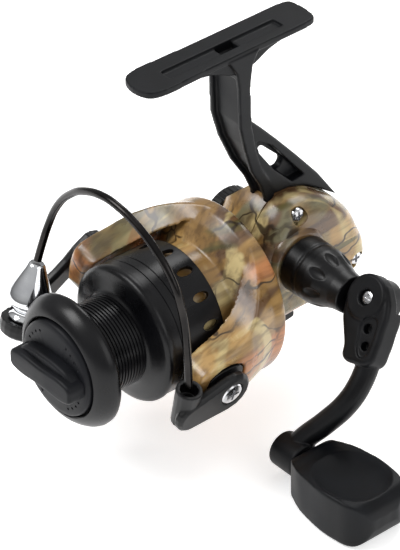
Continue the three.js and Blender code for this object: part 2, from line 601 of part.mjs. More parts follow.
const stack = [
  ['drag_felt_rear', 'felt', 3.2, 12.3, -53.2],
  ['drag_disc_rear', 'steel', 3, 12.3, -54.4],
  ['drag_felt_middle', 'felt', 3.2, 12.3, -55.6],
  ['drag_disc_front', 'steel', 3, 12.3, -56.8],
  ['drag_felt_front', 'felt', 3.2, 12.3, -58],
];
for (const [name, finish, inner, outer, y] of stack) {
  spoolLine.add(part(name, finish, ring(inner, outer, y, y + 0.85, 12)));
}
spoolLine.add(part('drag_pressure_plate', 'steel', ring(3, 10.4, -59.3, -58.4, 16)));
spoolLine.add(part('drag_clip', 'steel', ring(11.4, 12.4, -59.5, -58.8, 16)));

function dragKnob() {
  const disc = turned([[0, -65.5], [9, -65.5], [9, -60.4], [11.2, -60.4], [11.2, -62.2],
    [15.8, -62.2], [16.2, -63], [16.2, -66.4], [15.4, -67.4], [0, -67.9]], 24);
  const grip = frontSlab(teardrop(-8, 0, 6.2, 8, 0, 6.2, 6), -71.6, -67, 1.2, 0, 1);
  const bridge = frontSlab(rounded([[-14.8, -3.6], [14.8, -3.6], [14.8, 3.6], [-14.8, 3.6]], 3, 3),
    -73.6, -67, 1.5);
  return cut(join(disc, grip, bridge),
    ring(0, boreR, -69.5, -60, 20));
}
spoolLine.add(part('drag_knob', 'drag', dragKnob()));
spoolLine.add(part('drag_nut', 'brass', cut(aboutY(regular(6, 5.4), -65.1, -63),
  ring(0, boreR, -68, -60, 20))));
spoolLine.add(part('drag_spring', 'steel', coil(4.4, 0.45, -62.3, -60.2, 2.5)));

// ---- click ----
spoolLine.add(part('click_ratchet', 'zinc', cut(
  aboutY(pointed(16, 6.1, 7), -31.1, -29.4), ring(0, boreR, -33, -28, 20))));
const pawlPlate = frontSlab(rounded([[-1.6, 16.6], [1.6, 16.6], [1, 7.4], [-1, 7.4]], 0.5, 2),
  -31, -29.6);
const pawlPost = ring(0, 1.1, -37, -30, 10).translate(0, 0, 15);
spoolLine.add(part('click_pawl', 'nylon', join(pawlPlate, pawlPost)));

// ---- crank ----
function handleShank() {
  const body = turned([[0, 25.4], [2.2, 25.4], [2.2, 16.9], [9.2, 16.9], [9.7, 17.5], [9.7, 23],
    [9.6, 27], [8.9, 30.4], [7.6, 33.4], [6.8, 36], [6.4, 39], [6.2, 45], [5.6, 48], [0, 48]], 24);
  const eye = solid(new THREE.CylinderGeometry(7, 7, 5.4, 20));
  const lapCut = block([-20, -20, -30], [30, gap / 2, 30]);
  // built about the crank axis, then the hinge half is turned with the parked arm
  const toCrank = new THREE.Matrix4().makeRotationZ(Math.PI / 2);
  const lean = THREE.MathUtils.radToDeg(armLean);
  const place = (shape) => shape.rotate(lean, 0, 0).translate(knuckleX, 0, 0);
  const straight = body.rotate(0, 0, -90);
  const cleared = cut(straight, place(lapCut.intersect(block([-9.2, -20, -20], [20, 20, 20]))));
  const hinge = place(eye.translate(0, 2.7 + gap / 2, hingeRise));
  const hole = place(ring(0, 1.8, -20, 20, 16).translate(0, 0, hingeRise));
  return cut(join(cleared, hinge), hole).transform(toCrank.toArray());
}
crankLine.add(part('handle_shank', 'black', handleShank()));
crankLine.add(part('handle_bolt', 'steel', ring(0, 1.9, -18.6, 25, 16)));

function handleCap() {
  const body = turned([[0, -19], [2.2, -19], [2.2, -15.3], [8.2, -15.3], [9, -16], [9, -20.2],
    [7.6, -21.4], [0, -21.8]], 24);
  const knurl = aboutY(pointed(30, 8.8, 9.6), -20, -16.4);
  return join(body, cut(knurl, ring(0, 5, -30, 0, 20)));
}
crankLine.add(part('handle_cap', 'black', handleCap()));

function handleArm() {
  const lap = frontSlab(polygon(regular(18, 7.6)), -5.4, -gap / 2, 0.8);
  const upper = frontSlab(smooth([[-7, 1], [-6, -5], [-3.1, -9.4], [-0.4, -13], [1.7, -17],
    [7, -16.8], [12.3, -14.6], [12.6, -9], [11.6, -3.5], [10.6, 1.5], [7.8, 6.4], [2.4, 9.6]], 24),
  -4.9, 3.6, 1.2, 0, 1);
  const lower = bar(3.8, [[8.2, 0, -12], [9.4, 0, -21], [8.4, 0, -29], [4.4, 0, -38],
    [-0.2, 0, -46], [-2.2, 0, -50.6]], 9, 5);
  const end = rodX(6, -6.6, 4, 0, -armLength, 18);
  const hollow = solid(new THREE.CylinderGeometry(9.9, 9.9, 20, 24).translate(0, 10 - gap / 2, 0));
  const room = block([-30, -gap / 2, -10], [0.6, 20, 20]);
  const panel = frontSlab(rounded([[2.6, -4.4], [4.8, -1.2], [8.4, -1.6], [10.2, -11.4], [8, -14.2],
    [5.2, -12]], 1.5), -8, -4.4);
  const holes = [[5.4, -5.1, 1.6], [7.5, -10.2, 1.5]].map(([x, z, r]) =>
    solid(new THREE.CylinderGeometry(r, r, 6, 14).translate(x, -4.6, z)));
  const hinge = join(ring(0, 1.8, -20, 20, 16), ring(0, 2.6, -20, -3.4, 16));
  return cut(join(lap.translate(0, 0, hingeRise), upper, lower, end),
    hollow.translate(0, 0, hingeRise), room, panel, ...holes,
    hinge.translate(0, 0, hingeRise), rodX(2.3, -4, 8, 0, -armLength, 16));
}
armLine.add(part('handle_arm', 'grip', handleArm()));
const foldPin = join(ring(0, 1.5, -3.6, 5.4, 16), ring(0, 2.3, -4.4, -3.4, 16));
const pinSlot = block([-0.4, -9, -1.6], [0.4, -4, 1.6]);
armLine.add(part('fold_pin', 'chrome', cut(foldPin, pinSlot).translate(0, 0, hingeRise)));

const knobShaft = join(rodX(2, knuckleX - 3.6, knobStart + 27, 0, 0, 16),
  rodX(3.2, knobStart + 27, knobStart + 28.4, 0, 0, 16));
knobLine.add(part('knob_shaft', 'steel', knobShaft));

function knobGrip() {
  const end = knobStart + 37;
  const plan = smooth([[knobStart, -6], [knobStart + 5, -9.6], [knobStart + 14, -11.8],
    [knobStart + 26, -12.2], [knobStart + 33, -10.4], [end, -4.4], [end, 4.4],
    [knobStart + 33, 10.4], [knobStart + 26, 12.2], [knobStart + 14, 11.8], [knobStart + 5, 9.6],
    [knobStart, 6]], 28);
  const side = smooth([[knobStart, -5.4], [knobStart + 7, -7], [knobStart + 18, -7.8],
    [knobStart + 30, -8.2], [end - 0.6, -4.4], [end - 0.6, 4.4], [knobStart + 30, 8.2],
    [knobStart + 18, 7.8], [knobStart + 7, 7], [knobStart, 5.4]], 22);
  const flat = topSlab(plan, -8.3, 8.3, 2.4);
  return cut(flat.intersect(frontSlab(side, -14, 14)).intersect(
    block([knobStart, -20, -20], [end + 1, 20, 20])), rodX(2.3, 40, knobStart + 26, 0, 0, 16),
    rodX(3.6, knobStart + 25, knobStart + 29, 0, 0, 16),
    rodX(2.3, knobStart + 20, end + 4, 0, 0, 12));
}
knobLine.add(part('knob_grip', 'grip', knobGrip()));

const object = new THREE.Group();
object.add(reel);
export default object;
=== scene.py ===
from math import cos, pi, radians, sin

import bmesh
import bpy
from mathutils import Matrix, Vector
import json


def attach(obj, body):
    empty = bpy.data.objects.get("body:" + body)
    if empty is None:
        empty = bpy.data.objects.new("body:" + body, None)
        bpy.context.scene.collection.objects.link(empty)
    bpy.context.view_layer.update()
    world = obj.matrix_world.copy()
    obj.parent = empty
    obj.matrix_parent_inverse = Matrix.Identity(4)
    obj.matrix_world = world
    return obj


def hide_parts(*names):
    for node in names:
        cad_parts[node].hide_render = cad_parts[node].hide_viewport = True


mm = 0.001
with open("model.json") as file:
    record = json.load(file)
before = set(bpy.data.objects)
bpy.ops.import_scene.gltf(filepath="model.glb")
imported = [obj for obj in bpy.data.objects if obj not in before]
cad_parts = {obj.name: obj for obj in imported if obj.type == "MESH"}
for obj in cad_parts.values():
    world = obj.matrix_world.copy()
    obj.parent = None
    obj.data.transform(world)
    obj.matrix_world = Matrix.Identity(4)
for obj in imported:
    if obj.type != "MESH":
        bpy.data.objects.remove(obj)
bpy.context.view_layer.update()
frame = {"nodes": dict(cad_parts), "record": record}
print("frame loaded:", len(frame["nodes"]), "nodes")

# places of the reel, in millimetres from the foot's middle
footMiddle = Matrix.Translation((0, 28 * mm, 0))
alongY = Matrix.Rotation(radians(-90), 4, "X")  # turned shapes stand on Z, this lays them along Y
alongX = Matrix.Rotation(radians(90), 4, "Y")
sideways = Matrix(((0, 0, 1, 0), (1, 0, 0, 0), (0, 1, 0, 0), (0, 0, 0, 1)))  # outline in y, z
frontways = Matrix(((1, 0, 0, 0), (0, 0, 1, 0), (0, 1, 0, 0), (0, 0, 0, 1)))  # outline in x, z
spoolPlace = footMiddle @ Matrix.Translation((0, 0, -89.4 * mm))
rotorPlace = spoolPlace @ Matrix.Rotation(radians(15), 4, "Y")
crankPlace = footMiddle @ Matrix.Translation((0, 19.6 * mm, -80.8 * mm))
armPlace = crankPlace @ Matrix.Translation((49 * mm, 0, 0)) @ Matrix.Rotation(radians(-35.6), 4, "X")
hingePlace = armPlace @ Matrix.Translation((0, 0, 3 * mm))
rollerPlace = (spoolPlace @ Matrix.Translation((-32 * mm, -54.2 * mm, -4.8 * mm))
               @ Matrix.Rotation(radians(72.1), 4, "X"))
knobPlace = crankPlace @ Matrix.Translation(
    (0, -52.6 * mm * sin(radians(35.6)), -52.6 * mm * cos(radians(35.6))))


# shapes
def closeUp(shape):
    bmesh.ops.remove_doubles(shape, verts=shape.verts, dist=0.004 * mm)
    bmesh.ops.recalc_face_normals(shape, faces=shape.faces)
    return shape


def toObject(name, shape, place=Matrix.Identity(4)):
    bmesh.ops.transform(shape, matrix=place, verts=shape.verts)
    bmesh.ops.recalc_face_normals(shape, faces=shape.faces)
    mesh = bpy.data.meshes.new(name)
    shape.to_mesh(mesh)
    shape.free()
    piece = bpy.data.objects.new(name, mesh)
    bpy.context.scene.collection.objects.link(piece)
    return piece


def turnedShape(profile, steps=96):  # radius and height pairs, spun about Z
    shape = bmesh.new()
    verts = [shape.verts.new((r * mm, 0, h * mm)) for r, h in profile]
    edges = [shape.edges.new(pair) for pair in zip(verts, verts[1:])]
    bmesh.ops.spin(shape, geom=verts + edges, axis=(0, 0, 1), cent=(0, 0, 0),
                   angle=2 * pi, steps=steps, use_merge=True)
    return closeUp(shape)


def turnedPiece(name, profile, place, steps=96):
    return toObject(name, turnedShape(profile, steps), place)


def rodPiece(name, radius, low, high, place, steps=48):
    return turnedPiece(name, [(0, low), (radius, low), (radius, high), (0, high)], place, steps)


def curvePiece(name, curve, place):
    holder = bpy.data.objects.new(name, curve)
    bpy.context.scene.collection.objects.link(holder)
    mesh = bpy.data.meshes.new_from_object(holder)
    bpy.data.objects.remove(holder)
    shape = bmesh.new()
    shape.from_mesh(mesh)
    return toObject(name, closeUp(shape), place)


def slabPiece(name, outline, low, high, place, rounding=0.0, straight=False, steps=8):
    curve = bpy.data.curves.new(name, "CURVE")  # a filled outline with rounded edges
    curve.dimensions = "2D"
    curve.fill_mode = "BOTH"
    curve.extrude = ((high - low) / 2 - rounding) * mm
    curve.bevel_depth = rounding * mm
    curve.bevel_resolution = 5
    curve.offset = -rounding * mm
    spline = curve.splines.new("BEZIER")
    spline.bezier_points.add(len(outline) - 1)
    for point, (u, v) in zip(spline.bezier_points, outline):
        point.co = (u * mm, v * mm, 0)
        point.handle_left_type = "VECTOR" if straight else "AUTO"
        point.handle_right_type = "VECTOR" if straight else "AUTO"
    spline.use_cyclic_u = True
    spline.resolution_u = 1 if straight else steps
    middle = Matrix.Translation((0, 0, (low + high) / 2 * mm))
    return curvePiece(name, curve, place @ middle)


def tubePiece(name, points, radius, place, steps=12):
    curve = bpy.data.curves.new(name, "CURVE")  # round bar along a smooth line
    curve.dimensions = "3D"
    curve.bevel_depth = radius * mm
    curve.bevel_resolution = 8
    curve.use_fill_caps = True
    spline = curve.splines.new("BEZIER")
    spline.bezier_points.add(len(points) - 1)
    for point, (x, y, z) in zip(spline.bezier_points, points):
        point.co = (x * mm, y * mm, z * mm)
        point.handle_left_type = "AUTO"
        point.handle_right_type = "AUTO"
    spline.resolution_u = steps
    return curvePiece(name, curve, place)


def ballPiece(name, size, place):  # an ellipsoid, for dishes and scoops
    shape = bmesh.new()
    bmesh.ops.create_uvsphere(shape, u_segments=32, v_segments=20, radius=mm)
    bmesh.ops.scale(shape, vec=size, verts=shape.verts)
    return toObject(name, shape, place)


def boxPiece(name, low, high, place, rounding=0.0):
    shape = bmesh.new()
    bmesh.ops.create_cube(shape, size=mm)
    bmesh.ops.scale(shape, vec=[b - a for a, b in zip(low, high)], verts=shape.verts)
    if rounding:
        bmesh.ops.bevel(shape, geom=shape.edges[:], offset=rounding * mm, segments=4,
                        affect="EDGES", profile=0.5, material=-1, clamp_overlap=True)
    middle = Matrix.Translation([(a + b) / 2 * mm for a, b in zip(low, high)])
    return toObject(name, shape, place @ middle)


def nodeCopy(name, node):
    shape = bmesh.new()
    shape.from_mesh(frame["nodes"][node].data)
    return toObject(name, closeUp(shape))


# joining and finishing
def bake(piece):
    bpy.context.view_layer.update()
    graph = bpy.context.evaluated_depsgraph_get()
    mesh = bpy.data.meshes.new_from_object(piece.evaluated_get(graph), depsgraph=graph)
    piece.modifiers.clear()
    piece.data = mesh
    return piece


def combine(piece, others, how):
    for other in others:
        step = piece.modifiers.new("step", "BOOLEAN")
        step.operation = how
        step.solver = "EXACT"
        step.object = other
    bake(piece)
    for other in others:
        bpy.data.objects.remove(other)
    return piece


def gather(name, pieces):  # several solids as one mesh
    shape = bmesh.new()
    for piece in pieces:
        shape.from_mesh(piece.data)
        bpy.data.objects.remove(piece)
    mesh = bpy.data.meshes.new(name)
    shape.to_mesh(mesh)
    shape.free()
    piece = bpy.data.objects.new(name, mesh)
    bpy.context.scene.collection.objects.link(piece)
    return piece


def mould(piece, grain, passes):  # an even skin with softly rounded edges
    skin = piece.modifiers.new("skin", "REMESH")
    skin.mode = "VOXEL"
    skin.voxel_size = grain * mm
    soften = piece.modifiers.new("soften", "SMOOTH")
    soften.factor = 0.5
    soften.iterations = passes
    return bake(piece)


def handIn(piece, name, body, finish, nodes, sharp=32):
    piece.name = name
    piece.data.name = name
    piece.data.materials.clear()
    piece.data.materials.append(finishes[finish])
    piece.data.shade_smooth()
    piece.data.set_sharp_from_angle(angle=radians(sharp))
    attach(piece, body)
    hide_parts(*nodes)
    return piece


# finishes
def tint(code):  # a paint shade written in hex, as linear light
    values = [int(code[i:i + 2], 16) / 255 for i in (0, 2, 4)]
    return tuple(((v + 0.055) / 1.055) ** 2.4 if v > 0.04 else v / 12.92 for v in values) + (1,)


def newGroup(name, inputs, outputs):
    group = bpy.data.node_groups.new(name, "ShaderNodeTree")
    for label, kind, value in inputs:
        made = group.interface.new_socket(label, in_out="INPUT", socket_type=kind)
        made.default_value = value
    for label, kind in outputs:
        group.interface.new_socket(label, in_out="OUTPUT", socket_type=kind)
    return group, group.nodes.new("NodeGroupInput"), group.nodes.new("NodeGroupOutput")


def addNoise(tree, vector, scale, detail, distortion=0.0):
    noise = tree.nodes.new("ShaderNodeTexNoise")
    noise.inputs["Detail"].default_value = detail
    noise.inputs["Distortion"].default_value = distortion
    tree.links.new(vector, noise.inputs["Vector"])
    if isinstance(scale, (int, float)):
        noise.inputs["Scale"].default_value = scale
    else:
        tree.links.new(scale, noise.inputs["Scale"])
    return noise.outputs["Fac"]


def addRange(tree, value, low, high, toLow, toHigh):
    node = tree.nodes.new("ShaderNodeMapRange")
    node.interpolation_type = "SMOOTHSTEP"
    tree.links.new(value, node.inputs["Value"])
    for label, number in (("From Min", low), ("From Max", high), ("To Min", toLow), ("To Max", toHigh)):
        if isinstance(number, (int, float)):
            node.inputs[label].default_value = number
        else:
            tree.links.new(number, node.inputs[label])
    return node.outputs["Result"]


def addMix(tree, share, first, second, blend="MIX"):
    node = tree.nodes.new("ShaderNodeMix")
    node.data_type = "RGBA"
    node.blend_type = blend
    for socket, value in ((node.inputs[0], share), (node.inputs[6], first), (node.inputs[7], second)):
        if isinstance(value, (int, float, tuple)):
            socket.default_value = value
        else:
            tree.links.new(value, socket)
    return node.outputs[2]


def addStretch(tree, vector, turn, scale):
    node = tree.nodes.new("ShaderNodeMapping")
    node.inputs["Rotation"].default_value = [radians(a) for a in turn]
    node.inputs["Scale"].default_value = scale
    tree.links.new(vector, node.inputs["Vector"])
    return node.outputs["Vector"]


def makeSurfaceGroup():  # soft cloudiness of colour and gloss with a fine moulded grain
    group, source, sink = newGroup(
        "surfaceVariation",
        [("Vector", "NodeSocketVector", (0, 0, 0)), ("Low Color", "NodeSocketColor", (0, 0, 0, 1)),
         ("High Color", "NodeSocketColor", (1, 1, 1, 1)), ("Cloud Scale", "NodeSocketFloat", 80),
         ("Grain Scale", "NodeSocketFloat", 1500), ("Low Roughness", "NodeSocketFloat", 0.3),
         ("High Roughness", "NodeSocketFloat", 0.4)],
        [("Color", "NodeSocketColor"), ("Roughness", "NodeSocketFloat"), ("Height", "NodeSocketFloat")])
    cloud = addNoise(group, source.outputs["Vector"], source.outputs["Cloud Scale"], 4)
    grain = addNoise(group, source.outputs["Vector"], source.outputs["Grain Scale"], 2)
    share = addRange(group, cloud, 0.35, 0.65, 0.0, 1.0)
    color = addMix(group, share, source.outputs["Low Color"], source.outputs["High Color"])
    rough = addRange(group, cloud, 0.3, 0.7, source.outputs["Low Roughness"],
                     source.outputs["High Roughness"])
    group.links.new(color, sink.inputs["Color"])
    group.links.new(rough, sink.inputs["Roughness"])
    group.links.new(grain, sink.inputs["Height"])
    return group


def makeBrushGroup():  # fine turning or drawing lines along one direction
    group, source, sink = newGroup(
        "brushLines",
        [("Vector", "NodeSocketVector", (0, 0, 0)), ("Scale", "NodeSocketFloat", 3000)],
        [("Height", "NodeSocketFloat")])
    lines = addNoise(group, addStretch(group, source.outputs["Vector"], (0, 0, 0), (0.06, 1, 0.06)),
                     source.outputs["Scale"], 3)
    group.links.new(lines, sink.inputs["Height"])
    return group


surfaceGroup = makeSurfaceGroup()
brushGroup = makeBrushGroup()


def newMaterial(name):
    material = bpy.data.materials.new(name)
    material.use_nodes = True
    tree = material.node_tree
    where = tree.nodes.new("ShaderNodeTexCoord").outputs["Object"]
    return material, tree, tree.nodes["Principled BSDF"], where


def useGroup(tree, group, where, values):
    node = tree.nodes.new("ShaderNodeGroup")
    node.node_tree = group
    tree.links.new(where, node.inputs["Vector"])
    for label, value in values.items():
        node.inputs[label].default_value = value
    return node


def addBump(tree, shader, height, strength, depth):
    bump = tree.nodes.new("ShaderNodeBump")
    bump.inputs["Strength"].default_value = strength
    bump.inputs["Distance"].default_value = depth * mm
    tree.links.new(height, bump.inputs["Height"])
    tree.links.new(bump.outputs["Normal"], shader.inputs["Normal"])


def makeFinish(name, look):
    material, tree, shader, where = newMaterial(name)
    shader.inputs["Metallic"].default_value = look.get("metal", 0.0)
    shader.inputs["Specular IOR Level"].default_value = look.get("specular", 0.5)
    surface = useGroup(tree, surfaceGroup, where, {
        "Low Color": tint(look["shades"][0]), "High Color": tint(look["shades"][1]),
        "Cloud Scale": 90, "Grain Scale": look.get("grain", 2200),
        "Low Roughness": look["gloss"][0], "High Roughness": look["gloss"][1]})
    tree.links.new(surface.outputs["Color"], shader.inputs["Base Color"])
    tree.links.new(surface.outputs["Roughness"], shader.inputs["Roughness"])
    height = surface.outputs["Height"]
    if "brushed" in look:
        height = useGroup(tree, brushGroup, where, {"Scale": look["brushed"]}).outputs["Height"]
    addBump(tree, shader, height, look["bump"], 0.05)
    return material


looks = {
    "frameBlack": {"shades": ("0e0f11", "141518"), "gloss": (0.36, 0.48), "bump": 0.3, "grain": 2600,
                   "specular": 0.18},
    "gloveBlack": {"shades": ("060607", "0b0b0d"), "gloss": (0.3, 0.4), "bump": 0.08, "specular": 0.32},
    "handleBlack": {"shades": ("08080a", "0d0e11"), "gloss": (0.36, 0.48), "bump": 0.15, "grain": 3000,
                    "specular": 0.2},
    "gripBlack": {"shades": ("08090c", "0d0f13"), "gloss": (0.38, 0.5), "bump": 0.22, "grain": 2400,
                  "specular": 0.18},
    "spoolBlack": {"shades": ("060608", "0b0b0e"), "gloss": (0.25, 0.34), "bump": 0.06,
                   "brushed": 4000, "specular": 0.3},
    "dragGrey": {"shades": ("0f1013", "15161a"), "gloss": (0.4, 0.52), "bump": 0.3, "grain": 2600,
                 "specular": 0.18},
    "bailWireSteel": {"shades": ("262525", "353332"), "gloss": (0.2, 0.28), "metal": 1.0,
                      "bump": 0.05, "brushed": 3500},
    "rollerChrome": {"shades": ("d2d4d8", "e6e8ea"), "gloss": (0.05, 0.09), "metal": 1.0, "bump": 0.01},
    "screwChrome": {"shades": ("c4c4c6", "d8d8da"), "gloss": (0.12, 0.2), "metal": 1.0, "bump": 0.03},
    "steel": {"shades": ("a4a6aa", "b6b8bc"), "gloss": (0.25, 0.35), "metal": 1.0, "bump": 0.08,
              "brushed": 3000},
    "zinc": {"shades": ("84878b", "9a9da1"), "gloss": (0.4, 0.5), "metal": 0.9, "bump": 0.2},
    "brass": {"shades": ("a8823c", "c29c56"), "gloss": (0.25, 0.35), "metal": 1.0, "bump": 0.08,
              "brushed": 3000},
    "felt": {"shades": ("5c574d", "777164"), "gloss": (0.9, 1.0), "bump": 0.6, "grain": 1800},
    "nylon": {"shades": ("d2cdbd", "e0dccd"), "gloss": (0.42, 0.52), "bump": 0.12},
}
finishes = {name: makeFinish(name, look) for name, look in looks.items()}

woodland = {
    "ground": ("b8935a", "8f6e3e"), "salmon": "c07c48", "olive": "5c552f", "greyGreen": "77745a",
    "bark": "6a4e36", "straw": "cdb984", "twig": "2e2216",
    "layers": (("greyGreen", "lean", 24, 1.2, 0.54, 0.66), ("salmon", "flow", 20, 1.0, 0.5, 0.6),
               ("bark", "flow", 32, 1.6, 0.57, 0.66), ("straw", "lean", 34, 1.4, 0.56, 0.66),
               ("olive", "flow", 30, 1.8, 0.56, 0.64)),  # shade, path, scale, swirl, from, to
    "layerShare": 0.92, "streakScale": 420, "streakShare": 0.5,
    "twigScale": 60, "twigShare": 0.9, "twigWander": 0.014, "wanderScale": 90,
    "coat": 0.35, "coatRoughness": 0.2,
}


def makeCamo():
    material, tree, shader, where = newMaterial("woodlandPrint")
    paths = {"flow": addStretch(tree, where, (18, 40, -25), (1.2, 0.32, 1.5)),
             "lean": addStretch(tree, where, (60, 15, 30), (1.7, 1.2, 0.32))}
    color = addMix(tree, addRange(tree, addNoise(tree, paths["flow"], 40, 3, 0.8), 0.4, 0.6, 0.0, 1.0),
                   tint(woodland["ground"][0]), tint(woodland["ground"][1]))
    for index, (shade, path, scale, swirl, low, high) in enumerate(woodland["layers"]):
        shift = tree.nodes.new("ShaderNodeVectorMath")
        shift.inputs[1].default_value = (0.37 * index, 0.21 * index, -0.13 * index)
        tree.links.new(paths[path], shift.inputs[0])
        mask = addRange(tree, addNoise(tree, shift.outputs[0], scale, 2.5, swirl), low, high, 0.0,
                        woodland["layerShare"])
        color = addMix(tree, mask, color, tint(woodland[shade]))
    streaks = addNoise(tree, addStretch(tree, where, (25, 35, -20), (1, 0.1, 0.8)),
                       woodland["streakScale"], 5, 0.3)
    color = addMix(tree, addRange(tree, streaks, 0.4, 0.66, 0.0, woodland["streakShare"]), color,
                   tint(woodland["bark"]), "MULTIPLY")
    twig = tree.nodes.new("ShaderNodeTexVoronoi")
    twig.feature = "DISTANCE_TO_EDGE"
    twig.inputs["Scale"].default_value = woodland["twigScale"]
    bent = tree.nodes.new("ShaderNodeVectorMath")
    bent.operation = "MULTIPLY_ADD"
    wander = tree.nodes.new("ShaderNodeTexNoise")
    wander.inputs["Scale"].default_value = woodland["wanderScale"]
    tree.links.new(where, wander.inputs["Vector"])
    tree.links.new(wander.outputs["Color"], bent.inputs[0])
    bent.inputs[1].default_value = [woodland["twigWander"]] * 3
    tree.links.new(addStretch(tree, where, (30, 20, 45), (1, 0.4, 1.1)), bent.inputs[2])
    tree.links.new(bent.outputs[0], twig.inputs["Vector"])
    line = addRange(tree, twig.outputs["Distance"], 0.012, 0.04, woodland["twigShare"], 0.0)
    patch = addRange(tree, addNoise(tree, where, 48, 2, 0.5), 0.42, 0.55, 0.0, 1.0)
    both = tree.nodes.new("ShaderNodeMath")
    both.operation = "MULTIPLY"
    tree.links.new(line, both.inputs[0])
    tree.links.new(patch, both.inputs[1])
    color = addMix(tree, both.outputs[0], color, tint(woodland["twig"]))
    surface = useGroup(tree, surfaceGroup, where, {
        "Cloud Scale": 120, "Grain Scale": 1800, "Low Roughness": 0.26, "High Roughness": 0.36})
    tree.links.new(color, shader.inputs["Base Color"])
    tree.links.new(surface.outputs["Roughness"], shader.inputs["Roughness"])
    addBump(tree, shader, surface.outputs["Height"], 0.05, 0.04)
    shader.inputs["Coat Weight"].default_value = woodland["coat"]
    shader.inputs["Coat Roughness"].default_value = woodland["coatRoughness"]
    return material


finishes["camo"] = makeCamo()
print("finishes made:", len(finishes))

slotFinish = {
    "frame_black": "frameBlack", "camo": "camo", "black_plastic": "gloveBlack",
    "handle_black": "handleBlack", "grip_black": "gripBlack", "spool_black": "spoolBlack",
    "drag_grey": "dragGrey", "bail_wire": "bailWireSteel", "roller_chrome": "rollerChrome",
    "screw_chrome": "screwChrome", "steel": "steel", "zinc": "zinc", "brass": "brass",
    "felt": "felt", "nylon": "nylon",
}
for part in frame["record"]["subparts"]:
    kept = frame["nodes"][part["node"]]
    kept.data.materials.clear()
    kept.data.materials.append(finishes[slotFinish[part["material_slot"]]])

# foot and stem
foot = {"grain": 0.3, "passes": 5}
footPiece = mould(nodeCopy("foot", "foot_frame"), foot["grain"], foot["passes"])
handIn(footPiece, "rodFoot", "frame", "frameBlack", ["foot_frame"], 60)
print("foot done")

# body shells
shell = {
    "outline": [(3, -80), (9.7, -70.6), (13.9, -64.4), (18.4, -61.5), (24.6, -61.5), (31, -63.6),
                (37.3, -67.5), (44.4, -73.9), (48.6, -82), (50.9, -88.5), (50.6, -93.6), (47.2, -98),
                (41, -100.8), (32, -102.9), (20, -103.6), (8, -102.8), (3.2, -99), (3, -90)],
    "left": -14.5, "right": 15, "round": 5.5, "stretch": 1.64, "split": 4, "gap": 0.3,
    "bevel": [(-5, -61), (-14.8, -70.3), (-30, -70.3), (-30, -40), (-5, -40)],  # far upper edge
    "screws": ((20.8, -65.2), (45.4, -93), (8.6, -98.2)), "screwHeight": 12.2, "wellRadius": 2.9,
    "collar": [(0, 11), (11.4, 11), (11.4, 14.6), (10.9, 15.6), (10.3, 16.3), (9.9, 16.5), (0, 16.5)],
    "neck": [(6, -2.8), (6, -3.4), (13, -3.4), (13, -8), (17.2, -8), (17.5, -7.7), (17.5, 5), (7.8, 5),
             (7.8, -2.8), (6, -2.8)],
    "leftCollar": [(0, -15), (9.6, -15), (10.2, -14.4), (10.4, -12), (0, -12)],
    "lugs": (19.4, 30.8),
}


def halfShell(name, plane, keepRight):
    middle, wide = (shell["left"] + shell["right"]) / 2, shell["right"] - shell["left"]
    half = wide / 2 / shell["stretch"]  # the round edges reach further across than down
    stretched = Matrix.Translation((middle * mm, 0, 0)) @ Matrix.Diagonal((shell["stretch"], 1, 1, 1))
    whole = slabPiece(name, shell["outline"], -half, half, footMiddle @ stretched @ sideways,
                      shell["round"], steps=10)
    combine(whole, [slabPiece("bevel", shell["bevel"], -5, 60, footMiddle @ frontways, straight=True)],
            "DIFFERENCE")
    shape = bmesh.new()
    shape.from_mesh(whole.data)
    cutAway = bmesh.ops.bisect_plane(
        shape, geom=shape.verts[:] + shape.edges[:] + shape.faces[:], plane_co=(plane * mm, 0, 0),
        plane_no=(1, 0, 0), clear_inner=keepRight, clear_outer=not keepRight)
    rim = [e for e in cutAway["geom_cut"] if isinstance(e, bmesh.types.BMEdge)]
    bmesh.ops.edgeloop_fill(shape, edges=rim)
    lip = [e for e in rim if e.is_valid]
    bmesh.ops.bevel(shape, geom=lip, offset=0.25 * mm, segments=2, affect="EDGES",
                    profile=0.5, material=-1)
    bpy.data.objects.remove(whole)
    return toObject(name, closeUp(shape))


coverPiece = halfShell("cover", shell["split"] + shell["gap"], True)
combine(coverPiece, [turnedPiece("collar", shell["collar"], crankPlace @ alongX)], "UNION")
wells = [rodPiece("well", shell["wellRadius"], shell["screwHeight"] - 0.3, 20,
                  footMiddle @ Matrix.Translation((0, y * mm, z * mm)) @ alongX) for y, z in shell["screws"]]
combine(coverPiece, wells, "DIFFERENCE")
handIn(coverPiece, "sideCover", "frame", "camo", ["side_cover"])

housingPiece = halfShell("housing", shell["split"], False)
neck = turnedPiece("neck", shell["neck"], spoolPlace @ alongY)
lugs = [boxPiece("lug", (-2.6, y, -109.4), (2.6, y + 1.8, -102), footMiddle, 0.4) for y in shell["lugs"]]
leftCollar = turnedPiece("leftCollar", shell["leftCollar"], crankPlace @ alongX)
housingPiece = gather("housing", [housingPiece, neck, leftCollar, *lugs])
handIn(housingPiece, "gearHousing", "frame", "camo", ["gear_housing"])
print("body shells done")


# cross-head screws
screws = {"cover": (2.5, 1.7, 1.6), "pivot": (3.9, 1.4, 2.4), "pin": (2.2, 0.9, 1.4),
          "slot": 0.42, "pivotAt": -26, "pivotHeight": 36.3}  # sizes: radius, height, slot length


def screwPiece(name, place, size):  # head stands on Z
    radius, height, arm = size
    slot = screws["slot"]
    head = turnedPiece(name, [(0, -1.2), (radius * 0.55, -1.2), (radius * 0.55, 0), (radius * 0.96, 0),
                              (radius, 0.15), (radius, height * 0.5), (radius * 0.9, height * 0.78),
                              (radius * 0.6, height * 0.95), (0, height)], place, 48)
    cross = [boxPiece("slot", (-arm, -slot, height * 0.35), (arm, slot, height + 1), place),
             boxPiece("slot", (-slot, -arm, height * 0.35), (slot, arm, height + 1), place)]
    return combine(head, cross, "DIFFERENCE")


